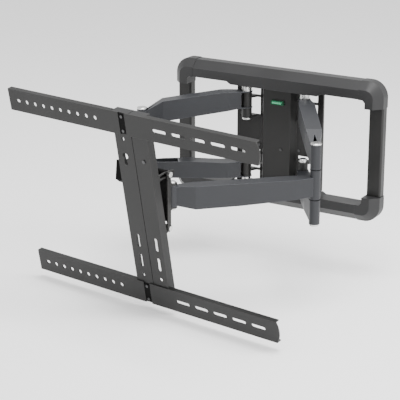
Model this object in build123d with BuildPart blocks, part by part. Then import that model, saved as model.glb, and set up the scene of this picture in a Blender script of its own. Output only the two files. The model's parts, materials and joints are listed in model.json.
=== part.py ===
from build123d import *
import os
from math import acos, atan2, cos, hypot, pi, radians, sin, sqrt

# Full motion wall mount for a screen: a wall frame, two folding arms that
# meet at a head bracket, and a tilting screen bracket with four half rails.
# Millimetres. X runs along the wall, -Y leaves the wall, Z is up. The origin
# is on the wall, behind the centre of the wall frame.

os.makedirs("parts", exist_ok=True)

# ---------------------------------------------------------------- wall frame
FRAME_WIDTH = 535.0
FRAME_HEIGHT = 325.0
COVER_DEPTH = 42.0
RIDGE = 18.3            # 45 degree chamfer along the outer edge of the rails
COVER_WALL = 2.2
RAIL_INNER_Z = 122.8    # inner edge of the top and bottom rails
LIP_INNER_Z = 116.6     # the rails are taller over the centre plate
LIP_HALF = 112.0
LIP_SLOPE = 10.0
SEAM_X = 214.0          # where a corner cap meets a rail
CAP_WALL = 1.5
CAP_PROUD = 0.6
CAP_RADIUS = 38.0
CAP_END_Z = 103.0
SIDE_INNER_X = 231.5
SIDE_OUTER_X = FRAME_WIDTH / 2 - CAP_WALL - 0.1
SIDE_DEPTH = 20.0
STRIP_THICK = 3.0
STRIP_INNER_Z = RAIL_INNER_Z + COVER_WALL + 0.2
STRIP_OUTER_Z = FRAME_HEIGHT / 2 - COVER_WALL - 0.7
STUD_X = 203.2          # wall bolts, 406.4 mm apart
BOLT_ROW_Z = 142.0
WALL_BOLT_HOLE = 4.5

# -------------------------------------------------------------- centre plate
PANEL_HALF = 112.0
PANEL_FRONT = 6.0
RAISED_FRONT = 20.0
RAISED_HALF = 35.0
RAISED_FOOT = 45.0
SHEET = 3.0
WINDOW_X = (50.0, 98.0)
WINDOW_Z = (40.0, 115.0)
PANEL_TOP_Z = 158.0

# -------------------------------------------------------------------- hinges
SHOULDER_X = 74.3
SHOULDER_Y = 28.0
PIN_RADIUS = 4.92
BORE_RADIUS = 5.0
BARREL_RADIUS = 11.8
RUN_GAP = 0.3           # end gap between a fixed and a turning part

# ---------------------------------------------------------------------- arms
INNER_LENGTH = 244.0
OUTER_LENGTH = 309.5
ARM_SHEET = 2.2
UPPER_BAR = {
    "top": 104.0,
    "bottom": 64.0,
    "crown": 86.0,
    "sag": 38.0,
    "end_top": 61.0,
    "end_bottom": 16.0,
}
LOWER_BAR = {
    "top": -64.6,
    "bottom": -102.6,
    "crown": -55.0,
    "sag": -98.0,
    "end_top": -58.0,
    "end_bottom": -110.0,
}
ELBOW_TOP = 66.1
ELBOW_RINGS = (10.9, -56.3)
ELBOW_BOTTOM = -111.5
RING_THICK = 1.6
RING_RADIUS = 12.3

# ---------------------------------------------------------------------- head
HEAD_CENTRE = (-62.3, -430.0)
HEAD_YAW = radians(8.3)
HEAD_HALF = 36.1        # half the distance between the two arm pins
HEAD_BACK = 13.2        # back of the head plate, ahead of the arm pins
HEAD_SHEET = 3.5
HEAD_FRONT = 24.0       # front edge of the cheeks
CHEEK_X = (41.3, 44.5)
HEAD_TOP_Z = 13.0
HEAD_LOW_Z = -84.0
EAR_TOP_Z = -6.0
EAR_LOW_Z = -53.0
EAR_THICK = 4.0
OPEN_PIN_RADIUS = 4.0   # left arm pin, loose in its sleeve
OPEN_BORE_RADIUS = 6.8
TILT_AXIS = (18.0, -97.0)
CLAMP_AXIS = (18.0, 21.5)
TILT_PLATE_X = (37.2, 40.2)
CLAMP_ROD = 3.02
CLAMP_HOLE = 3.1
LEVER_FACE = 46.0       # the paddle starts here, clear of the left channel
LEVER_END = 84.0
ROD_END = 51.5

# ------------------------------------------------------------- screen bracket
TILT = radians(10.6)     # how far the bracket leans at rest, and can lean back
TILT_FORWARD = radians(4.4)
SCREEN_FORWARD = 58.5   # arm pins to the front of the rails, at their centre
SCREEN_Z = -60.3
VESA_HALF = 200.0
PATTERN_SHIFT = -17.5   # the hole pattern sits left of the channels
RAIL_TALL = 50.0
RAIL_SHEET = 3.0
RAIL_FLANGE = 9.0
LEFT_RAIL_X = (-328.0, -7.0)
RIGHT_RAIL_X = (10.0, 346.0)
RAIL_BULGE = 6.5
CHANNEL_FRONT = RAIL_SHEET
CHANNEL_BACK = 23.0
CHANNEL_SHEET = 2.5
CHANNEL_HALF_LENGTH = 222.0
LEFT_CHANNEL_X = (-27.0, 18.8)
RIGHT_CHANNEL_X = (20.5, 61.5)


# ------------------------------------------------------- directions and planes
def unit(x, y):
    """A level direction of length one."""
    length = hypot(x, y)
    return (x / length, y / length)


def elbow_position(shoulder, wrist, side):
    """Where the elbow stands when the arm reaches from shoulder to wrist."""
    across = wrist[0] - shoulder[0]
    ahead = wrist[1] - shoulder[1]
    reach = hypot(across, ahead)
    turn = acos((INNER_LENGTH**2 + reach**2 - OUTER_LENGTH**2) / (2 * INNER_LENGTH * reach))
    heading = atan2(ahead, across) + side * turn
    return (shoulder[0] + INNER_LENGTH * cos(heading), shoulder[1] + INNER_LENGTH * sin(heading))


def level_plane(start, heading, z):
    """A level sketch plane with x along the heading."""
    return Plane(origin=(start[0], start[1], z), x_dir=(heading[0], heading[1], 0), z_dir=(0, 0, 1))


def side_plane(start, heading):
    """An upright sketch plane with x along the heading and y up."""
    return Plane(
        origin=(start[0], start[1], 0),
        x_dir=(heading[0], heading[1], 0),
        z_dir=(heading[1], -heading[0], 0),
    )


ALONG = (cos(HEAD_YAW), -sin(HEAD_YAW))
AHEAD = (-sin(HEAD_YAW), -cos(HEAD_YAW))


def head_point(x, ahead):
    """A point given along and ahead of the head's centre."""
    return (
        HEAD_CENTRE[0] + ALONG[0] * x + AHEAD[0] * ahead,
        HEAD_CENTRE[1] + ALONG[1] * x + AHEAD[1] * ahead,
    )


def head_level(z):
    """Level plane at the head: x along it, y back towards the wall."""
    return level_plane(HEAD_CENTRE, ALONG, z)


def head_front(ahead):
    """Upright plane facing the screen: x along the head, y up."""
    start = head_point(0, ahead)
    return Plane(origin=(start[0], start[1], 0), x_dir=(ALONG[0], ALONG[1], 0), z_dir=(AHEAD[0], AHEAD[1], 0))


def head_cross(x):
    """Upright plane across the head: x ahead, y up; it faces -x of the head."""
    start = head_point(x, 0)
    return Plane(
        origin=(start[0], start[1], 0),
        x_dir=(AHEAD[0], AHEAD[1], 0),
        z_dir=(-ALONG[0], -ALONG[1], 0),
    )


FACING = (AHEAD[0] * cos(TILT), AHEAD[1] * cos(TILT), -sin(TILT))
SCREEN_BASE = head_point(PATTERN_SHIFT, SCREEN_FORWARD)


def screen_plane(depth):
    """Tilted plane a given depth behind the rails' front: x along, y up."""
    origin = (
        SCREEN_BASE[0] - FACING[0] * depth,
        SCREEN_BASE[1] - FACING[1] * depth,
        SCREEN_Z - FACING[2] * depth,
    )
    return Plane(origin=origin, x_dir=(ALONG[0], ALONG[1], 0), z_dir=FACING)


def screen_cross(x):
    """Plane across the rails: x is the depth behind their front, y up."""
    origin = (SCREEN_BASE[0] + ALONG[0] * x, SCREEN_BASE[1] + ALONG[1] * x, SCREEN_Z)
    return Plane(origin=origin, x_dir=(-FACING[0], -FACING[1], -FACING[2]), z_dir=(ALONG[0], ALONG[1], 0))


def screen_local(ahead, z):
    """Depth behind the rails and height along them of a point at the head."""
    forward = ahead - SCREEN_FORWARD
    rise = z - SCREEN_Z
    return (-(forward * cos(TILT) - rise * sin(TILT)), rise * cos(TILT) + forward * sin(TILT))


RIGHT_SHOULDER = (SHOULDER_X, -SHOULDER_Y)
LEFT_SHOULDER = (-SHOULDER_X, -SHOULDER_Y)
RIGHT_WRIST = head_point(HEAD_HALF, 0)
LEFT_WRIST = head_point(-HEAD_HALF, 0)
RIGHT_ELBOW = elbow_position(RIGHT_SHOULDER, RIGHT_WRIST, 1)
LEFT_ELBOW = elbow_position(LEFT_SHOULDER, LEFT_WRIST, -1)


def save(solid, name):
    """Label a sub-part and write its STEP file."""
    solid.label = name
    export_step(solid, f"parts/{name}.step")


def ring(plane_list, outer, length, inner):
    """Round bored rings on the given planes."""
    with BuildPart() as posts:
        for plane in plane_list:
            with BuildSketch(plane):
                Circle(outer)
                Circle(inner, mode=Mode.SUBTRACT)
            extrude(amount=length)
    return posts.part


# ------------------------------------------------------------ wall frame parts
def rail_cover_body(inset, level, half_length):
    """One rail's outline swept out from the wall, with its ridge chamfered."""
    outer = level * (FRAME_HEIGHT / 2 - CAP_PROUD - inset)
    inner = level * (RAIL_INNER_Z + inset)
    lip = level * (LIP_INNER_Z + inset)
    depth = COVER_DEPTH - inset
    chamfer_size = RIDGE - inset * (2 - sqrt(2))
    with BuildPart() as body:
        with BuildSketch(Plane.XZ):
            with BuildLine():
                Polyline(
                    (-half_length, outer),
                    (half_length, outer),
                    (half_length, inner),
                    (LIP_HALF + LIP_SLOPE, inner),
                    (LIP_HALF, lip),
                    (-LIP_HALF, lip),
                    (-LIP_HALF - LIP_SLOPE, inner),
                    (-half_length, inner),
                    close=True,
                )
            make_face()
        extrude(amount=depth)
        long_edges = body.edges().filter_by(Axis.X)
        ridge = long_edges.sort_by(lambda edge: hypot(edge.center().Y, edge.center().Z))[-1]
        chamfer(ridge, length=chamfer_size)
    return body.part


def rail_cover(name, level):
    """Thin chamfered cover over one rail, open at the wall and at its ends."""
    cavity = rail_cover_body(COVER_WALL, level, SEAM_X + 1)
    with BuildPart() as cover:
        add(rail_cover_body(0, level, SEAM_X))
        add(cavity, mode=Mode.SUBTRACT)
        with BuildSketch(Plane.XZ):
            with Locations((0, level * (LIP_INNER_Z + 3))):
                Rectangle(2 * LIP_HALF + 2, 12)
        extrude(amount=COVER_DEPTH - COVER_WALL, mode=Mode.SUBTRACT)
    save(cover.part, name)


def cap_body(inset, side, level, run_on):
    """A corner cap's outline swept out from the wall, its outer edge chamfered."""
    far_x = FRAME_WIDTH / 2 - inset
    far_z = FRAME_HEIGHT / 2 + CAP_PROUD - inset
    radius = CAP_RADIUS - inset
    near_x = SIDE_INNER_X - CAP_WALL - 0.1 + inset
    near_z = RAIL_INNER_Z - CAP_PROUD + inset
    start_x = SEAM_X - run_on
    end_z = CAP_END_Z + inset
    notch = 6.0
    depth = COVER_DEPTH + CAP_PROUD - inset
    with BuildPart() as body:
        with BuildSketch(Plane.XZ):
            with BuildLine():
                top = Line((side * start_x, level * far_z), (side * (far_x - radius), level * far_z))
                bend = Line((side * far_x, level * (far_z - radius)), (side * far_x, level * end_z))
                middle = radius * (1 - cos(pi / 4))
                ThreePointArc(top @ 1, (side * (far_x - middle), level * (far_z - middle)), bend @ 0)
                Polyline(
                    bend @ 1,
                    (side * near_x, level * end_z),
                    (side * near_x, level * (near_z - notch)),
                    (side * (near_x - notch), level * near_z),
                    (side * start_x, level * near_z),
                    top @ 0,
                )
            make_face()
        extrude(amount=depth)
        front = body.faces().sort_by(Axis.Y)[0]
        outer_edges = front.edges().filter_by(
            lambda edge: abs(edge.center().X) > far_x - radius or abs(edge.center().Z) > far_z - 1
        )
        outer_edges = outer_edges.filter_by(
            lambda edge: abs(edge.center().Z) > end_z + 0.1
            and (
                abs(edge.center().X) > far_x - 0.1
                or abs(edge.center().Z) > far_z - 0.1
                or edge.geom_type == GeomType.CIRCLE
            )
        )
        chamfer(outer_edges, length=RIDGE - inset * (2 - sqrt(2)))
    return body.part


def corner_cap(name, side, level):
    """Hollow plastic cap over one corner of the frame."""
    cavity = cap_body(CAP_WALL, side, level, 1)
    with BuildPart() as cap:
        add(cap_body(0, side, level, 0))
        add(cavity, mode=Mode.SUBTRACT)
        with BuildSketch(Plane.XZ):
            with Locations((side * (SIDE_INNER_X + SIDE_OUTER_X) / 2, level * (CAP_END_Z + 1))):
                Rectangle(SIDE_OUTER_X - SIDE_INNER_X + 0.2, 8)
        extrude(amount=SIDE_DEPTH + 0.3, mode=Mode.SUBTRACT)
    save(cap.part, name)


def side_rail(name, side):
    """Upright steel channel that joins the two wall strips."""
    with BuildPart() as rail:
        with BuildSketch(Plane.XY.offset(-STRIP_INNER_Z)):
            with Locations((side * (SIDE_INNER_X + SIDE_OUTER_X) / 2, -SIDE_DEPTH / 2)):
                Rectangle(SIDE_OUTER_X - SIDE_INNER_X, SIDE_DEPTH)
        extrude(amount=2 * STRIP_INNER_Z)
        fillet(rail.edges().filter_by(Axis.Z).group_by(Axis.Y)[0], radius=4.5)
        with BuildSketch(Plane.XY.offset(-STRIP_INNER_Z)):
            with Locations((side * (SIDE_INNER_X + SIDE_OUTER_X) / 2, -(SIDE_DEPTH - COVER_WALL) / 2)):
                RectangleRounded(SIDE_OUTER_X - SIDE_INNER_X - 2 * COVER_WALL, SIDE_DEPTH - COVER_WALL, 2.3)
            with Locations((side * (SIDE_INNER_X + SIDE_OUTER_X) / 2, -3)):
                Rectangle(SIDE_OUTER_X - SIDE_INNER_X - 2 * COVER_WALL, 6)
        extrude(amount=2 * STRIP_INNER_Z, mode=Mode.SUBTRACT)
    save(rail.part, name)


def wall_strip(name, level):
    """Flat steel strip against the wall, with the holes for the wall bolts."""
    tall = STRIP_OUTER_Z - STRIP_INNER_Z
    half = SIDE_OUTER_X - 2.2
    corner = CAP_RADIUS - 4
    with BuildPart() as strip:
        with BuildSketch(Plane.XZ):
            with Locations((0, level * (STRIP_INNER_Z + tall / 2))):
                Rectangle(2 * half, tall)
            with Locations(*[(side * STUD_X, level * BOLT_ROW_Z) for side in (-1, 1)]):
                Circle(WALL_BOLT_HOLE, mode=Mode.SUBTRACT)
        extrude(amount=STRIP_THICK)
        outer = strip.edges().filter_by(Axis.Y).filter_by(lambda edge: abs(edge.center().X) > half - 0.1)
        outer = outer.filter_by(lambda edge: abs(edge.center().Z) > STRIP_OUTER_Z - 0.1)
        fillet(outer, radius=corner)
    save(strip.part, name)


def centre_plate(name):
    """Folded steel plate between the rails that carries the four hinges."""
    with BuildPart() as plate:
        with BuildSketch(Plane.XY.offset(-LIP_INNER_Z)):
            with BuildLine():
                Polyline(
                    (-PANEL_HALF, 0),
                    (-PANEL_HALF, -PANEL_FRONT),
                    (-RAISED_FOOT, -PANEL_FRONT),
                    (-RAISED_HALF, -RAISED_FRONT),
                    (RAISED_HALF, -RAISED_FRONT),
                    (RAISED_FOOT, -PANEL_FRONT),
                    (PANEL_HALF, -PANEL_FRONT),
                    (PANEL_HALF, 0),
                    (PANEL_HALF - SHEET, 0),
                    (PANEL_HALF - SHEET, SHEET - PANEL_FRONT),
                    (RAISED_FOOT - 2, SHEET - PANEL_FRONT),
                    (RAISED_HALF - 2, SHEET - RAISED_FRONT),
                    (2 - RAISED_HALF, SHEET - RAISED_FRONT),
                    (2 - RAISED_FOOT, SHEET - PANEL_FRONT),
                    (SHEET - PANEL_HALF, SHEET - PANEL_FRONT),
                    (SHEET - PANEL_HALF, 0),
                    close=True,
                )
            make_face()
        extrude(amount=2 * LIP_INNER_Z)
        with BuildSketch(Plane.XZ.offset(PANEL_FRONT - SHEET)):
            for level in (-1, 1):
                with Locations((0, level * (LIP_INNER_Z + PANEL_TOP_Z) / 2)):
                    Rectangle(2 * PANEL_HALF, PANEL_TOP_Z - LIP_INNER_Z)
        extrude(amount=SHEET)
        with BuildSketch(Plane.XZ):
            for side in (-1, 1):
                for level in (-1, 1):
                    with Locations((side * sum(WINDOW_X) / 2, level * sum(WINDOW_Z) / 2)):
                        Rectangle(WINDOW_X[1] - WINDOW_X[0], WINDOW_Z[1] - WINDOW_Z[0])
        extrude(amount=PANEL_FRONT, mode=Mode.SUBTRACT)
    save(plate.part, name)


def hinge_bracket(name, side, barrels, ears):
    """Welded ears and barrels that hold one wall hinge."""
    with BuildPart() as bracket:
        for low, high in ears:
            with BuildSketch(Plane.XY.offset(low)):
                with BuildLine():
                    Polyline(
                        (side * SHOULDER_X - 28, -PANEL_FRONT),
                        (side * SHOULDER_X + 28, -PANEL_FRONT),
                        (side * SHOULDER_X + 28, -PANEL_FRONT - 3.5),
                        (side * SHOULDER_X + 18, -PANEL_FRONT - 5),
                        (side * SHOULDER_X + 10, -SHOULDER_Y),
                        (side * SHOULDER_X - 10, -SHOULDER_Y),
                        (side * SHOULDER_X - 18, -PANEL_FRONT - 5),
                        (side * SHOULDER_X - 28, -PANEL_FRONT - 3.5),
                        close=True,
                    )
                make_face()
            extrude(amount=high - low)
        for low, high in barrels:
            with BuildSketch(Plane.XY.offset(low)):
                with Locations((side * SHOULDER_X, -SHOULDER_Y)):
                    Circle(BARREL_RADIUS)
            extrude(amount=high - low)
        for low, high in barrels:
            with BuildSketch(Plane.XY.offset(low)):
                with Locations((side * SHOULDER_X, -SHOULDER_Y)):
                    Circle(BORE_RADIUS)
            extrude(amount=high - low, mode=Mode.SUBTRACT)
    save(bracket.part, name)


def headed_pins(name, centres, shank, head, tail):
    """Round pins with a head at the top and a nut at the bottom."""
    with BuildPart() as pins:
        for x, y in centres:
            for radius, low, high in (shank, head, tail):
                with BuildSketch(Plane.XY.offset(low)):
                    with Locations((x, y)):
                        Circle(radius)
                extrude(amount=high - low)
        rims = pins.edges().filter_by(GeomType.CIRCLE).filter_by(lambda edge: edge.radius > shank[0] + 1)
        outer_levels = (head[2], tail[1])
        outer_rims = rims.filter_by(lambda edge: min(abs(edge.center().Z - z) for z in outer_levels) < 0.1)
        chamfer(outer_rims, length=1.2)
    save(pins.part, name)


# ----------------------------------------------------------------------- arms
def bar_shape(start, heading, profile, plan, low, high):
    """What an upright outline and a plan outline of a bar have in common."""
    with BuildPart() as shape:
        with BuildSketch(side_plane(start, heading)):
            with BuildLine():
                Polyline(*profile, close=True)
            make_face()
        extrude(amount=40, both=True)
        with BuildSketch(level_plane(start, heading, low - 5)):
            with BuildLine():
                Polyline(*plan, close=True)
            make_face()
        extrude(amount=high - low + 10, mode=Mode.INTERSECT)
    return shape.part


def mirrored(points):
    """A plan outline from one flank's points."""
    return points + [(x, -y) for x, y in reversed(points)]


def inner_bar(name, shoulder, elbow, shape, sleeve):
    """Boat shaped hollow bar from a wall hinge to the elbow, with its sleeve."""
    heading = unit(elbow[0] - shoulder[0], elbow[1] - shoulder[1])
    t = ARM_SHEET
    profile = [
        (-14, shape["bottom"]),
        (-14, shape["top"]),
        (60, shape["top"]),
        (196, shape["crown"]),
        (238, shape["end_top"]),
        (238, shape["end_bottom"]),
        (196, shape["sag"]),
        (20, shape["bottom"]),
    ]
    cavity_profile = [
        (-20, shape["bottom"] + t),
        (-20, shape["top"] - t),
        (60, shape["top"] - t),
        (196, shape["crown"] - t),
        (236, shape["end_top"] - t),
        (236, shape["end_bottom"] + t),
        (196, shape["sag"] + t),
        (20, shape["bottom"] + t),
    ]
    plan = mirrored([(0, 13), (16, 13.4), (46, 18), (196, 17), (238, 9.5)])
    cavity_plan = mirrored([(-20, 20), (15, 20), (15.1, 10.9), (46, 18 - t), (196, 17 - t), (236, 9.5 - t)])
    low = min(shape["bottom"], shape["end_bottom"])
    cavity = bar_shape(shoulder, heading, cavity_profile, cavity_plan, low, shape["top"] + 12)
    over = shape["crown"] + 6
    under = shape["end_top"] - 12
    notch_profile = [(208, under), (208, over), (236, over), (236, under)]
    notch_plan = [(208, 0), (236, 6.5), (236, -6.5)]
    notch = bar_shape(shoulder, heading, notch_profile, notch_plan, low, shape["top"] + 12)
    with BuildPart() as bar:
        add(bar_shape(shoulder, heading, profile, plan, low, shape["top"]))
        with BuildSketch(level_plane(shoulder, heading, shape["bottom"])):
            Circle(13)
        extrude(amount=shape["top"] - shape["bottom"])
        add(cavity, mode=Mode.SUBTRACT)
        add(notch, mode=Mode.SUBTRACT)
        with BuildSketch(level_plane(elbow, heading, sleeve[0])):
            Circle(BARREL_RADIUS)
        extrude(amount=sleeve[1] - sleeve[0])
        for centre in (shoulder, elbow):
            with BuildSketch(level_plane(centre, heading, low - 10)):
                Circle(BORE_RADIUS)
            extrude(amount=shape["top"] - low + 30, mode=Mode.SUBTRACT)
    save(bar.part, name)


def outer_arm(name, elbow, wrist, wrist_bore):
    """Boat shaped hollow arm from the elbow to the head, with both sleeves."""
    heading = unit(wrist[0] - elbow[0], wrist[1] - elbow[1])
    t = ARM_SHEET
    end = OUTER_LENGTH - 6
    profile = [(6, -47.5), (6, -6), (end, -9), (end, -50), (298, -51.5), (262, -59), (165, -56.6)]
    cavity_profile = [
        (8, t - 47.5),
        (8, -6 - t),
        (end, -9 - t),
        (end, -66),
        (265, -66),
        (262, t - 59),
        (165, t - 56.6),
    ]
    plan = mirrored([(6, 9.5), (46, 17), (262, 17), (end, 9.5)])
    cavity_plan = mirrored([(8, 9.5 - t), (46, 17 - t), (262, 17 - t), (end, 9.5 - t)])
    cavity = bar_shape(elbow, heading, cavity_profile, cavity_plan, -70, 0)
    elbow_low = ELBOW_RINGS[1] + RING_THICK / 2 + RUN_GAP
    elbow_high = ELBOW_RINGS[0] - RING_THICK / 2 - RUN_GAP
    sleeves = (
        (elbow, elbow_low, elbow_high, BORE_RADIUS),
        (wrist, EAR_LOW_Z + RUN_GAP, EAR_TOP_Z - RUN_GAP, wrist_bore),
    )
    with BuildPart() as arm:
        add(bar_shape(elbow, heading, profile, plan, -60, 0))
        add(cavity, mode=Mode.SUBTRACT)
        for centre, low, high, bore in sleeves:
            with BuildSketch(level_plane(centre, heading, low)):
                Circle(BARREL_RADIUS)
            extrude(amount=high - low)
        for centre, low, high, bore in sleeves:
            with BuildSketch(level_plane(centre, heading, low)):
                Circle(bore)
            extrude(amount=high - low, mode=Mode.SUBTRACT)
    save(arm.part, name)


def arm_side(side_name, shoulder, elbow, wrist, wrist_bore):
    """All the pieces of one folding arm."""
    heading = (1, 0)
    top_sleeve = (ELBOW_RINGS[0] + RING_THICK / 2, ELBOW_TOP)
    low_sleeve = (ELBOW_BOTTOM, ELBOW_RINGS[1] - RING_THICK / 2)
    inner_bar(f"{side_name}_inner_upper_bar", shoulder, elbow, UPPER_BAR, top_sleeve)
    inner_bar(f"{side_name}_inner_lower_bar", shoulder, elbow, LOWER_BAR, low_sleeve)
    outer_arm(f"{side_name}_outer_arm", elbow, wrist, wrist_bore)
    shank = (PIN_RADIUS, ELBOW_BOTTOM - 1, ELBOW_TOP + 1)
    head = (12.0, ELBOW_TOP, ELBOW_TOP + 3.4)
    tail = (10.6, ELBOW_BOTTOM - 4.5, ELBOW_BOTTOM)
    headed_pins(f"{side_name}_elbow_bolt", [elbow], shank, head, tail)
    planes = [level_plane(elbow, heading, z - RING_THICK / 2) for z in ELBOW_RINGS]
    save(ring(planes, RING_RADIUS, RING_THICK, PIN_RADIUS + 0.08), f"{side_name}_elbow_rings")


# ----------------------------------------------------------------------- head
def head_bracket(name):
    """Folded head bracket: web, two cheeks and the two ears that hold the arms."""
    with BuildPart() as bracket:
        with BuildSketch(head_front(HEAD_BACK)):
            with Locations((0, (HEAD_TOP_Z + HEAD_LOW_Z) / 2)):
                Rectangle(2 * CHEEK_X[1], HEAD_TOP_Z - HEAD_LOW_Z)
        extrude(amount=HEAD_SHEET)
        for near in (-CHEEK_X[1], CHEEK_X[0]):
            with BuildSketch(head_cross(near + CHEEK_X[1] - CHEEK_X[0])):
                with BuildLine():
                    Polyline(
                        (HEAD_BACK, HEAD_LOW_Z - 8),
                        (HEAD_BACK, CLAMP_AXIS[1]),
                        (HEAD_FRONT, CLAMP_AXIS[1]),
                        (HEAD_FRONT, HEAD_LOW_Z - 8),
                        close=True,
                    )
                make_face()
                with Locations(CLAMP_AXIS, TILT_AXIS):
                    Circle(7.5)
            extrude(amount=CHEEK_X[1] - CHEEK_X[0])
        for z in (EAR_TOP_Z, EAR_LOW_Z - EAR_THICK):
            with BuildSketch(head_level(z)):
                with Locations((0, -(HEAD_BACK + 1) / 2)):
                    Rectangle(2 * HEAD_HALF, HEAD_BACK + 1)
                for side in (-1, 1):
                    with Locations((side * HEAD_HALF, 0)):
                        Circle(10.8)
                    with Locations((side * HEAD_HALF, -(HEAD_BACK + 1) / 2)):
                        Rectangle(2 * (CHEEK_X[1] - HEAD_HALF), HEAD_BACK + 1)
            extrude(amount=EAR_THICK)
        with BuildSketch(head_level(EAR_LOW_Z - 10)):
            with Locations((HEAD_HALF, 0)):
                Circle(BORE_RADIUS)
            with Locations((-HEAD_HALF, 0)):
                Circle(OPEN_PIN_RADIUS + 0.08)
        extrude(amount=90, mode=Mode.SUBTRACT)
        with BuildSketch(head_cross(CHEEK_X[1] + 5)):
            with Locations(CLAMP_AXIS, TILT_AXIS):
                Circle(CLAMP_HOLE)
        extrude(amount=2 * CHEEK_X[1] + 10, mode=Mode.SUBTRACT)
    save(bracket.part, name)


def head_pins():
    """The two arm pins held by the ears of the head bracket."""
    top = EAR_TOP_Z + EAR_THICK
    low = EAR_LOW_Z - EAR_THICK
    for name, wrist, radius in (
        ("right_head_bolt", RIGHT_WRIST, PIN_RADIUS),
        ("left_head_bolt", LEFT_WRIST, OPEN_PIN_RADIUS),
    ):
        headed_pins(name, [wrist], (radius, low - 1, top + 1), (8.0, top, top + 3.5), (8.0, low - 4.5, low))


def cross_rods():
    """Tilt pivots, clamp rod with its spacer, and the clamp lever."""
    with BuildPart() as pivots:
        for side in (-1, 1):
            for start, length, radius in (
                (side * (TILT_PLATE_X[0] - 1.5), side * (CHEEK_X[1] - TILT_PLATE_X[0] + 3), 3.02),
                (side * CHEEK_X[1], side * 3.5, 5.5),
            ):
                with BuildSketch(head_cross(start)):
                    with Locations(TILT_AXIS):
                        Circle(radius)
                extrude(amount=-length)
    save(pivots.part, "tilt_pivot_bolts")
    with BuildPart() as rod:
        with BuildSketch(head_cross(CHEEK_X[1] + 1)):
            with Locations(CLAMP_AXIS):
                Circle(CLAMP_ROD)
        extrude(amount=CHEEK_X[1] + 1 + ROD_END)
        with BuildSketch(head_cross(CHEEK_X[1] + 4)):
            with Locations(CLAMP_AXIS):
                RegularPolygon(6.2, 6)
        extrude(amount=4)
    save(rod.part, "clamp_rod")
    with BuildPart() as spacer:
        with BuildSketch(head_cross(TILT_PLATE_X[0] - 0.8)):
            with Locations(CLAMP_AXIS):
                Circle(8)
                Circle(CLAMP_HOLE, mode=Mode.SUBTRACT)
        extrude(amount=2 * (TILT_PLATE_X[0] - 0.8))
    save(spacer.part, "clamp_spacer")
    with BuildPart() as lever:
        with BuildSketch(head_cross(-LEVER_FACE)):
            with BuildLine():
                Polyline((8, 30), (42, 36), (46, -6), (34, -15), (8, 8), close=True)
            make_face()
        extrude(amount=LEVER_END - LEVER_FACE)
        chamfer(lever.faces().sort_by(lambda face: face.center().X)[0].outer_wire().edges(), length=2)
        with BuildSketch(head_cross(-CHEEK_X[1])):
            with Locations(CLAMP_AXIS):
                Circle(7.5)
        extrude(amount=LEVER_FACE - CHEEK_X[1])
        with BuildSketch(head_cross(-CHEEK_X[1])):
            with Locations(CLAMP_AXIS):
                Circle(CLAMP_HOLE)
        extrude(amount=ROD_END - CHEEK_X[1] + RUN_GAP, mode=Mode.SUBTRACT)
    save(lever.part, "clamp_lever")


# ------------------------------------------------------------- screen bracket
def channel(name, span, details):
    """Upright channel behind the rails; details are its front openings."""
    width = span[1] - span[0]
    middle = (span[0] + span[1]) / 2
    with BuildPart() as post:
        with BuildSketch(screen_plane(CHANNEL_BACK)):
            with Locations((middle, 0)):
                Rectangle(width, 2 * CHANNEL_HALF_LENGTH)
        extrude(amount=CHANNEL_BACK - CHANNEL_FRONT)
        with BuildSketch(screen_plane(CHANNEL_BACK)):
            with Locations((middle, 0)):
                Rectangle(width - 2 * CHANNEL_SHEET, 2 * CHANNEL_HALF_LENGTH)
        extrude(amount=CHANNEL_BACK - CHANNEL_FRONT - CHANNEL_SHEET, mode=Mode.SUBTRACT)
        with BuildSketch(screen_plane(CHANNEL_BACK)):
            for x, z, wide, tall in details:
                with Locations((x, z)):
                    if wide == tall:
                        Circle(wide / 2)
                    else:
                        SlotOverall(tall, wide, rotation=90)
        extrude(amount=CHANNEL_BACK, mode=Mode.SUBTRACT)
    save(post.part, name)


def half_rail(name, span, level, slots, rounded):
    """One half rail with a folded flange along both long edges."""
    middle = (span[0] + span[1]) / 2
    width = span[1] - span[0]
    with BuildPart() as rail:
        with BuildSketch(screen_plane(RAIL_SHEET)):
            with Locations((middle, level * VESA_HALF)):
                Rectangle(width, RAIL_TALL)
            if rounded:
                with BuildLine():
                    ThreePointArc(
                        (span[1], level * VESA_HALF - RAIL_TALL / 2),
                        (span[1] + RAIL_BULGE, level * VESA_HALF),
                        (span[1], level * VESA_HALF + RAIL_TALL / 2),
                    )
                    Line(
                        (span[1], level * VESA_HALF + RAIL_TALL / 2),
                        (span[1], level * VESA_HALF - RAIL_TALL / 2),
                    )
                make_face()
            for x, long in slots:
                with Locations((x, level * VESA_HALF)):
                    if long > 10:
                        SlotOverall(long, 8, mode=Mode.SUBTRACT)
                    else:
                        Circle(long / 2, mode=Mode.SUBTRACT)
        extrude(amount=RAIL_SHEET)
        for edge in (-1, 1):
            for start, end in flange_spans(span):
                with BuildSketch(screen_plane(RAIL_SHEET + RAIL_FLANGE)):
                    with Locations(((start + end) / 2, level * VESA_HALF + edge * (RAIL_TALL - 2.4) / 2)):
                        Rectangle(end - start, 2.4)
                extrude(amount=RAIL_FLANGE)
    save(rail.part, name)


def flange_spans(span):
    """The stretches of a rail's flange that stand clear of the channels."""
    if span[0] < LEFT_CHANNEL_X[0]:
        return [(span[0], LEFT_CHANNEL_X[0] - 1)]
    return [(RIGHT_CHANNEL_X[1] + 1, span[1])]


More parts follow.
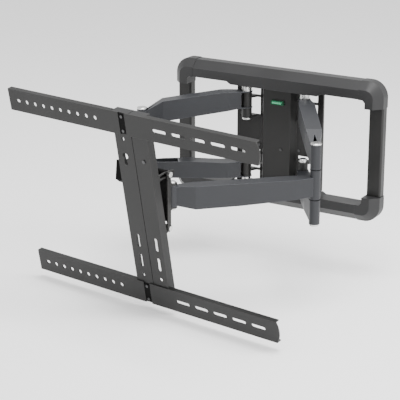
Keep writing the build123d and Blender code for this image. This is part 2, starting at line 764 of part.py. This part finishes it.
def tilt_plate(name, near):
    """Plate inside a channel with the low pivot lug and the slotted clamp arc."""
    axis = screen_local(*TILT_AXIS)
    clamp = screen_local(*CLAMP_AXIS)
    reach = hypot(clamp[0] - axis[0], clamp[1] - axis[1])
    rest = atan2(clamp[0] - axis[0], clamp[1] - axis[1])

    def on_arc(radius, angle):
        return (axis[0] + radius * sin(angle), axis[1] + radius * cos(angle))

    first, last = rest - radians(19.5), rest + radians(9.5)
    run_out = (CLAMP_ROD + RUN_GAP) / reach
    slot_first, slot_last = rest - TILT - run_out, rest + TILT_FORWARD + run_out
    with BuildPart() as plate:
        with BuildSketch(screen_cross(near)):
            with Locations(((CHANNEL_FRONT + CHANNEL_SHEET + 20) / 2, 12)):
                Rectangle(20 - CHANNEL_FRONT - CHANNEL_SHEET, 150)
            with BuildLine():
                Polyline(
                    (18, axis[1] - 14),
                    (axis[0], axis[1] - 8),
                    (axis[0], axis[1] + 8),
                    (18, axis[1] + 22),
                    close=True,
                )
            make_face()
            with Locations(axis):
                Circle(8)
                Circle(CLAMP_HOLE, mode=Mode.SUBTRACT)
            for radius_in, radius_out, start, end, mode in (
                (reach - 6.5, reach + 6.5, first, last, Mode.ADD),
                (reach - 3.4, reach + 3.4, slot_first, slot_last, Mode.SUBTRACT),
            ):
                with BuildLine():
                    middle = (start + end) / 2
                    inner = ThreePointArc(
                        on_arc(radius_in, start),
                        on_arc(radius_in, middle),
                        on_arc(radius_in, end),
                    )
                    outer = ThreePointArc(
                        on_arc(radius_out, end),
                        on_arc(radius_out, middle),
                        on_arc(radius_out, start),
                    )
                    Line(inner @ 1, outer @ 0)
                    Line(outer @ 1, inner @ 0)
                make_face(mode=mode)
        extrude(amount=TILT_PLATE_X[1] - TILT_PLATE_X[0])
    save(plate.part, name)


def screen_blocks(name, boxes, near, far):
    """Small blocks on the screen bracket between two depths."""
    with BuildPart() as blocks:
        with BuildSketch(screen_plane(far)):
            for x, z, wide, tall in boxes:
                with Locations((x, z)):
                    Rectangle(wide, tall)
        extrude(amount=far - near)
    save(blocks.part, name)


def screen_studs(name, points, radius, near, far):
    """Round heads on the screen bracket between two depths."""
    with BuildPart() as studs:
        with BuildSketch(screen_plane(far)):
            with Locations(*points):
                Circle(radius)
        extrude(amount=far - near)
    save(studs.part, name)


# ------------------------------------------------------------------ the build
rail_cover("top_rail_cover", 1)
rail_cover("bottom_rail_cover", -1)
for side_name, side in (("left", -1), ("right", 1)):
    corner_cap(f"top_{side_name}_corner_cap", side, 1)
    corner_cap(f"bottom_{side_name}_corner_cap", side, -1)
    side_rail(f"{side_name}_side_rail", side)
wall_strip("top_wall_strip", 1)
wall_strip("bottom_wall_strip", -1)
centre_plate("centre_plate")

UPPER_BARRELS = ((41.0, 63.7), (66.5, 101.5))
UPPER_EARS = ((41.0, 46.0), (87.5, 92.5))
LOWER_BARRELS = ((-100.1, -67.1), (-64.3, -46.0))
LOWER_EARS = ((-89.5, -84.5), (-51.0, -46.0))
for side_name, side in (("left", -1), ("right", 1)):
    hinge_bracket(f"{side_name}_upper_hinge_bracket", side, UPPER_BARRELS, UPPER_EARS)
    hinge_bracket(f"{side_name}_lower_hinge_bracket", side, LOWER_BARRELS, LOWER_EARS)
SHOULDERS = [LEFT_SHOULDER, RIGHT_SHOULDER]
headed_pins(
    "upper_hinge_bolts",
    SHOULDERS,
    (PIN_RADIUS, 40, 105),
    (BARREL_RADIUS, 104.3, 116.0),
    (10.8, 36.0, 41.0),
)
headed_pins(
    "lower_hinge_bolts",
    SHOULDERS,
    (PIN_RADIUS, -104, -45),
    (9.0, -46.0, -38.0),
    (10.8, -112.0, -102.9),
)

LEVEL = Plane.XZ.offset(RAISED_FRONT)
with BuildPart() as level_frame:
    with BuildSketch(LEVEL):
        with Locations((2.5, 83.5)):
            RectangleRounded(33, 11, 3)
    extrude(amount=4)
    with BuildSketch(LEVEL.offset(4)):
        with Locations((2.5, 83.5)):
            Rectangle(25, 6.6)
    extrude(amount=-3.4, mode=Mode.SUBTRACT)
save(level_frame.part, "level_frame")
with BuildPart() as level_vial:
    with BuildSketch(Plane.YZ.offset(2.5 - 12)):
        with Locations((-RAISED_FRONT - 4, 83.5)):
            Circle(3.1)
    extrude(amount=24)
    with BuildSketch(Plane.YZ.offset(2.5 - 5)):
        with Locations((-RAISED_FRONT - 4.6, 84.4)):
            Circle(1.7)
    extrude(amount=10, mode=Mode.SUBTRACT)
save(level_vial.part, "level_vial")
with BuildPart() as level_bubble:
    with BuildSketch(Plane.YZ.offset(2.5 - 4.9)):
        with Locations((-RAISED_FRONT - 4.6, 84.4)):
            Circle(1.6)
    extrude(amount=9.8)
save(level_bubble.part, "level_bubble")
with BuildPart() as plate_screws:
    for x, z, front in ((12, -28, RAISED_FRONT), (-52, -28, PANEL_FRONT), (52, -28, PANEL_FRONT)):
        with BuildSketch(Plane.XZ.offset(front)):
            with Locations((x, z)):
                Circle(3.2)
        extrude(amount=1.8)
save(plate_screws.part, "centre_plate_screws")

arm_side("right", RIGHT_SHOULDER, RIGHT_ELBOW, RIGHT_WRIST, BORE_RADIUS)
arm_side("left", LEFT_SHOULDER, LEFT_ELBOW, LEFT_WRIST, OPEN_BORE_RADIUS)

head_bracket("head_bracket")
head_pins()
cross_rods()

LEFT_HOLE_X = -6.5
RIGHT_HOLE_X = 44.0


def low_details(x):
    """The two slots and the hole low in a channel."""
    return [(x, -74, 8.5, 32), (x, -122, 8.5, 32), (x, -158, 8.5, 8.5)]


KEYHOLE = [(LEFT_HOLE_X, 124, 15, 15), (LEFT_HOLE_X, 115, 8, 24)]
LEFT_DETAILS = [(LEFT_HOLE_X, 164, 9, 9)] + KEYHOLE + low_details(LEFT_HOLE_X)
RIGHT_DETAILS = low_details(RIGHT_HOLE_X)
channel("left_channel", LEFT_CHANNEL_X, LEFT_DETAILS)
channel("right_channel", RIGHT_CHANNEL_X, RIGHT_DETAILS)
tilt_plate("left_tilt_plate", -TILT_PLATE_X[1] - PATTERN_SHIFT)
tilt_plate("right_tilt_plate", TILT_PLATE_X[0] - PATTERN_SHIFT)
HOLES = [(-75 - 25 * step, 11.5 if step == 9 else 9.8) for step in range(10)]
SLOTS = [(100 + 50 * step, 36) for step in range(5)]
for row, level in (("upper", 1), ("lower", -1)):
    half_rail(f"{row}_left_rail", LEFT_RAIL_X, level, HOLES, False)
    half_rail(f"{row}_right_rail", RIGHT_RAIL_X, level, SLOTS, True)
JOINT_X = 1.5           # middle of the gap between the half rails
JOINT_BLOCKS = [(JOINT_X, level * VESA_HALF, 17, 44) for level in (-1, 1)]
screen_blocks("rail_joint_blocks", JOINT_BLOCKS, 0.8, 3.0)
END_CAPS = []
for span in (LEFT_CHANNEL_X, RIGHT_CHANNEL_X):
    for level in (-1, 1):
        END_CAPS.append((sum(span) / 2, level * (CHANNEL_HALF_LENGTH + 1.25), span[1] - span[0], 2.5))
screen_blocks("channel_end_caps", END_CAPS, CHANNEL_FRONT, CHANNEL_BACK)
RAIL_SCREWS = [(JOINT_X, level * VESA_HALF + z) for level in (-1, 1) for z in (-16, 16)]
screen_studs("rail_joint_screws", RAIL_SCREWS, 3.4, -0.6, 0.8)
screen_studs("channel_rivet", [(RIGHT_HOLE_X, 121)], 4.0, 1.4, CHANNEL_FRONT)
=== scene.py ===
import json
from math import cos, radians, sin

import bpy
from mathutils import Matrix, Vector


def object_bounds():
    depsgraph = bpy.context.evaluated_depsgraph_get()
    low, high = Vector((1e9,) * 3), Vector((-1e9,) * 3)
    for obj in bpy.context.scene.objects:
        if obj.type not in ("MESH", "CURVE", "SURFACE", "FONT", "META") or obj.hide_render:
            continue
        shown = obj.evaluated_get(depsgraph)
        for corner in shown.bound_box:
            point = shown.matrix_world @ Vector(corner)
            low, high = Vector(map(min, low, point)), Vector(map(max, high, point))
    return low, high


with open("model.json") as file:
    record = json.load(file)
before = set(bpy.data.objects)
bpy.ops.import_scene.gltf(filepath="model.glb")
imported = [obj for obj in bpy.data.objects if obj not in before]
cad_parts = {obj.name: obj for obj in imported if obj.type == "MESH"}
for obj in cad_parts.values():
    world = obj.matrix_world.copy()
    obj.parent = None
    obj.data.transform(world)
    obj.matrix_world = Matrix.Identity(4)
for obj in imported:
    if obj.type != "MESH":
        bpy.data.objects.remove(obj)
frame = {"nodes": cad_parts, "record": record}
nodes = frame["nodes"]
size_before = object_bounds()

# Lengths are in metres unless a name says otherwise, and colours are linear.

# ------------------------------------------------------------ shader helpers
NOISE_LOW = 0.3                # most of a noise texture's values lie between these two
NOISE_HIGH = 0.7
BEVEL_SAMPLES = 4
EDGE_RADIUS = 0.0007           # every edge is shaded as rounded by this much
# The paler edges below are a painted highlight: light caught on the edges, painted into the coat's colour.
EDGE_HIGHLIGHT_WIDTH = 0.0013       # the painted highlight reaches this far from an edge
EDGE_HIGHLIGHT_SHARE = 0.75         # the most of the painted highlight's paler colour that shows
EDGE_HIGHLIGHT_PALER = 5
FLAT_AGREEMENT = 0.99          # the two normals' dot product, away from any edge
EDGE_AGREEMENT = 0.85          # the same product, right on an edge
SATIN_SPECULAR = 0.32


class Finish:
    """A material under construction: its shader, its coordinates and its links."""

    def __init__(self, name):
        self.material = bpy.data.materials.new(name)
        self.material.use_nodes = True
        self.tree = self.material.node_tree
        self.shader = self.tree.nodes["Principled BSDF"]
        self.place = self.add("ShaderNodeTexCoord").outputs["Object"]

    def add(self, kind):
        return self.tree.nodes.new(kind)

    def link(self, output, socket):
        self.tree.links.new(output, socket)

    def set(self, socket, value):
        self.shader.inputs[socket].default_value = value

    def noise(self, scale, detail, stretch=(1, 1, 1)):
        """Noise over the piece, stretched along its axes."""
        mapping = self.add("ShaderNodeMapping")
        mapping.inputs["Scale"].default_value = stretch
        texture = self.add("ShaderNodeTexNoise")
        texture.inputs["Scale"].default_value = scale
        texture.inputs["Detail"].default_value = detail
        self.link(self.place, mapping.inputs["Vector"])
        self.link(mapping.outputs["Vector"], texture.inputs["Vector"])
        return texture.outputs["Fac"]

    def remap(self, value, old_range, new_range):
        """Carries a value over from one range to another, and holds it there."""
        spread = self.add("ShaderNodeMapRange")
        spread.inputs["From Min"].default_value = old_range[0]
        spread.inputs["From Max"].default_value = old_range[1]
        spread.inputs["To Min"].default_value = new_range[0]
        spread.inputs["To Max"].default_value = new_range[1]
        self.link(value, spread.inputs["Value"])
        return spread.outputs["Result"]

    def uneven_gloss(self, cloud, smoothest, roughest):
        """Lets the roughness drift with the cloud."""
        roughness = self.remap(cloud, (NOISE_LOW, NOISE_HIGH), (smoothest, roughest))
        self.link(roughness, self.shader.inputs["Roughness"])

    def mottle(self, cloud, first, second):
        """Colours the surface between two close colours, and returns that colour."""
        ramp = self.add("ShaderNodeValToRGB")
        ramp.color_ramp.elements[0].position = NOISE_LOW
        ramp.color_ramp.elements[0].color = (*first, 1)
        ramp.color_ramp.elements[1].position = NOISE_HIGH
        ramp.color_ramp.elements[1].color = (*second, 1)
        self.link(cloud, ramp.inputs["Fac"])
        self.link(ramp.outputs["Color"], self.shader.inputs["Base Color"])
        return ramp.outputs["Color"]

    def rounded_normal(self, radius):
        """The surface's direction as it would be with its edges rounded."""
        rounded = self.add("ShaderNodeBevel")
        rounded.samples = BEVEL_SAMPLES
        rounded.inputs["Radius"].default_value = radius
        return rounded.outputs["Normal"]

    def painted_edge_highlight(self, surface_colour, highlight_colour):
        """Paints a highlight where two faces meet: the coat's colour turns paler there, standing in for light
        caught on the edges.
        """
        agreement = self.add("ShaderNodeVectorMath")
        agreement.operation = "DOT_PRODUCT"
        flat = self.add("ShaderNodeNewGeometry")
        self.link(self.rounded_normal(EDGE_HIGHLIGHT_WIDTH), agreement.inputs[0])
        self.link(flat.outputs["Normal"], agreement.inputs[1])
        highlight_amount = self.remap(
            agreement.outputs["Value"], (FLAT_AGREEMENT, EDGE_AGREEMENT), (0, EDGE_HIGHLIGHT_SHARE)
        )
        blend = self.add("ShaderNodeMixRGB")
        blend.inputs["Color2"].default_value = (*highlight_colour, 1)
        self.link(highlight_amount, blend.inputs["Fac"])
        self.link(surface_colour, blend.inputs["Color1"])
        self.link(blend.outputs["Color"], self.shader.inputs["Base Color"])

    def grain(self, height, strength, distance):
        """Soft edges and a fine relief on them."""
        bump = self.add("ShaderNodeBump")
        bump.inputs["Strength"].default_value = strength
        bump.inputs["Distance"].default_value = distance
        self.link(height, bump.inputs["Height"])
        self.link(self.rounded_normal(EDGE_RADIUS), bump.inputs["Normal"])
        self.link(bump.outputs["Normal"], self.shader.inputs["Normal"])


def scaled(colour, factor):
    return tuple(channel * factor for channel in colour)


def powder_coat(name, colour):
    """Satin powder coat: fine orange peel, an uneven sheen and a painted highlight along the edges."""
    finish = Finish(name)
    cloud = finish.noise(scale=9, detail=2)
    surface_colour = finish.mottle(cloud, scaled(colour, 0.92), scaled(colour, 1.08))
    # Painted highlight: the edges are painted paler, standing in for light caught on them.
    finish.painted_edge_highlight(surface_colour, scaled(colour, EDGE_HIGHLIGHT_PALER))
    finish.uneven_gloss(cloud, smoothest=0.38, roughest=0.5)
    finish.set("Specular IOR Level", SATIN_SPECULAR)
    finish.grain(finish.noise(scale=1500, detail=2), strength=0.18, distance=0.0002)
    return finish.material


def moulded_plastic(name, colour, roughness, specular):
    """Plastic from a spark-eroded mould, with its fine matt grain."""
    finish = Finish(name)
    cloud = finish.noise(scale=14, detail=2)
    finish.mottle(cloud, scaled(colour, 0.93), scaled(colour, 1.07))
    finish.uneven_gloss(cloud, smoothest=roughness, roughest=roughness + 0.1)
    finish.set("Specular IOR Level", specular)
    finish.grain(finish.noise(scale=2600, detail=1), strength=0.25, distance=0.00015)
    return finish.material


def plated_steel(name, colour, roughness):
    """Turned and plated steel: fine rings of tool marks and a cloudy plating."""
    finish = Finish(name)
    finish.set("Metallic", 1)
    cloud = finish.noise(scale=60, detail=3)
    finish.mottle(cloud, scaled(colour, 0.85), colour)
    finish.uneven_gloss(cloud, smoothest=roughness, roughest=roughness + 0.14)
    tool_marks = finish.noise(scale=420, detail=2, stretch=(1, 1, 9))
    finish.grain(tool_marks, strength=0.12, distance=0.0002)
    return finish.material


def clear_liquid(name, colour):
    """Tinted liquid, or the air in it, behind clear plastic."""
    finish = Finish(name)
    finish.mottle(finish.noise(scale=40, detail=1), scaled(colour, 0.9), colour)
    finish.set("Roughness", 0.08)
    finish.set("Transmission Weight", 0.25)
    finish.set("Coat Weight", 0.8)
    return finish.material


# ------------------------------------------------------------------ finishes
FRAME_GREY = (0.0125, 0.0123, 0.0118)
COVER_GREY = (0.0185, 0.0185, 0.0190)
ARM_GREY = (0.0205, 0.0215, 0.0245)
BRACKET_GREY = (0.0085, 0.0084, 0.0082)
BLACK = (0.0015, 0.0015, 0.0015)
BRIGHT_STEEL = (0.66, 0.66, 0.65)
DARK_STEEL = (0.09, 0.09, 0.092)
LEVEL_RIM_GREEN = (0.004, 0.07, 0.028)
LEVEL_LIQUID_GREEN = (0.06, 0.50, 0.24)
LEVEL_AIR = (0.80, 0.93, 0.84)

FINISHES = {
    "cover_coat": powder_coat("cover_powder_coat", COVER_GREY),
    "frame_coat": powder_coat("frame_powder_coat", FRAME_GREY),
    "arm_coat": powder_coat("arm_powder_coat", ARM_GREY),
    "bracket_coat": powder_coat("bracket_powder_coat", BRACKET_GREY),
    "cap_plastic": moulded_plastic("corner_cap_plastic", COVER_GREY, roughness=0.42, specular=SATIN_SPECULAR),
    "black_plastic": moulded_plastic("black_plastic", BLACK, roughness=0.6, specular=0.08),
    "bright_steel": plated_steel("bright_plated_steel", BRIGHT_STEEL, roughness=0.22),
    "dark_steel": plated_steel("blackened_steel", DARK_STEEL, roughness=0.35),
    "green_plastic": moulded_plastic("level_rim_plastic", LEVEL_RIM_GREEN, roughness=0.25, specular=0.4),
    "vial": clear_liquid("level_liquid", LEVEL_LIQUID_GREEN),
    "bubble": clear_liquid("level_air", LEVEL_AIR),
}

for subpart in frame["record"]["subparts"]:
    piece = nodes[subpart["node"]]
    piece.data.materials.clear()
    piece.data.materials.append(FINISHES[subpart["material_slot"]])


# --------------------------------------------------------------------- floor
lowest, highest = size_before
middle = (lowest + highest) / 2
diagonal = (highest - lowest).length

FLOOR_GAP = 0.02               # the mount hangs on a wall, so the floor is clear of it
FLOOR_SIDE = 40 * diagonal

bpy.ops.mesh.primitive_plane_add(size=FLOOR_SIDE, location=(0, 0, lowest.z - FLOOR_GAP))
floor = bpy.context.object
floor.name = "floor"
pale = Finish("pale_floor")
pale.mottle(pale.noise(scale=0.6, detail=2), (0.96, 0.96, 0.96), (0.97, 0.97, 0.97))
pale.set("Roughness", 0.9)
floor.data.materials.append(pale.material)


# -------------------------------------------------------------------- lights
AMBIENT_STRENGTH = 1.3

# Each soft box: its place from the object's middle, its side and its power in watts.
SOFT_BOXES = {
    "key": {"offset": (0.5, -0.2, 2.4), "side": 1.4, "power": 85},
    "fill": {"offset": (-1.9, -1.6, 0.7), "side": 1.4, "power": 8},
    "edge": {"offset": (1.7, 0.5, 1.3), "side": 1.0, "power": 30},
    "front": {"offset": (1.9, -1.5, 0.3), "side": 1.2, "power": 16},
}


def soft_box(name, offset, side, power):
    """A square light that points at the object's middle."""
    lamp = bpy.data.lights.new(name, "AREA")
    lamp.size = side
    lamp.energy = power
    holder = bpy.data.objects.new(name, lamp)
    holder.location = middle + Vector(offset)
    holder.rotation_mode = "QUATERNION"
    holder.rotation_quaternion = (-Vector(offset)).to_track_quat("-Z", "Y")
    bpy.context.scene.collection.objects.link(holder)


world = bpy.data.worlds.new("studio")
bpy.context.scene.world = world
world.use_nodes = True
ambient = world.node_tree.nodes["Background"]
ambient.inputs["Color"].default_value = (1, 1, 1, 1)
ambient.inputs["Strength"].default_value = AMBIENT_STRENGTH

for name, light in SOFT_BOXES.items():
    soft_box(name, **light)


# -------------------------------------------------------------------- camera
CAMERA_PLACE = (1.5254, -2.9202, 0.9215)
CAMERA_HEADING = radians(30.84)    # turned to the left from looking along +Y
CAMERA_PITCH = radians(18.18)      # looking down
SENSOR_WIDTH_MM = 36
LENS_MM = 131.75

camera = bpy.data.objects.new("camera", bpy.data.cameras.new("camera"))
camera.data.sensor_width = SENSOR_WIDTH_MM
camera.data.lens = LENS_MM
camera.location = CAMERA_PLACE
looking = Vector((
    -sin(CAMERA_HEADING) * cos(CAMERA_PITCH),
    cos(CAMERA_HEADING) * cos(CAMERA_PITCH),
    -sin(CAMERA_PITCH),
))
camera.rotation_mode = "QUATERNION"
camera.rotation_quaternion = looking.to_track_quat("-Z", "Y")
bpy.context.scene.collection.objects.link(camera)
bpy.context.scene.camera = camera
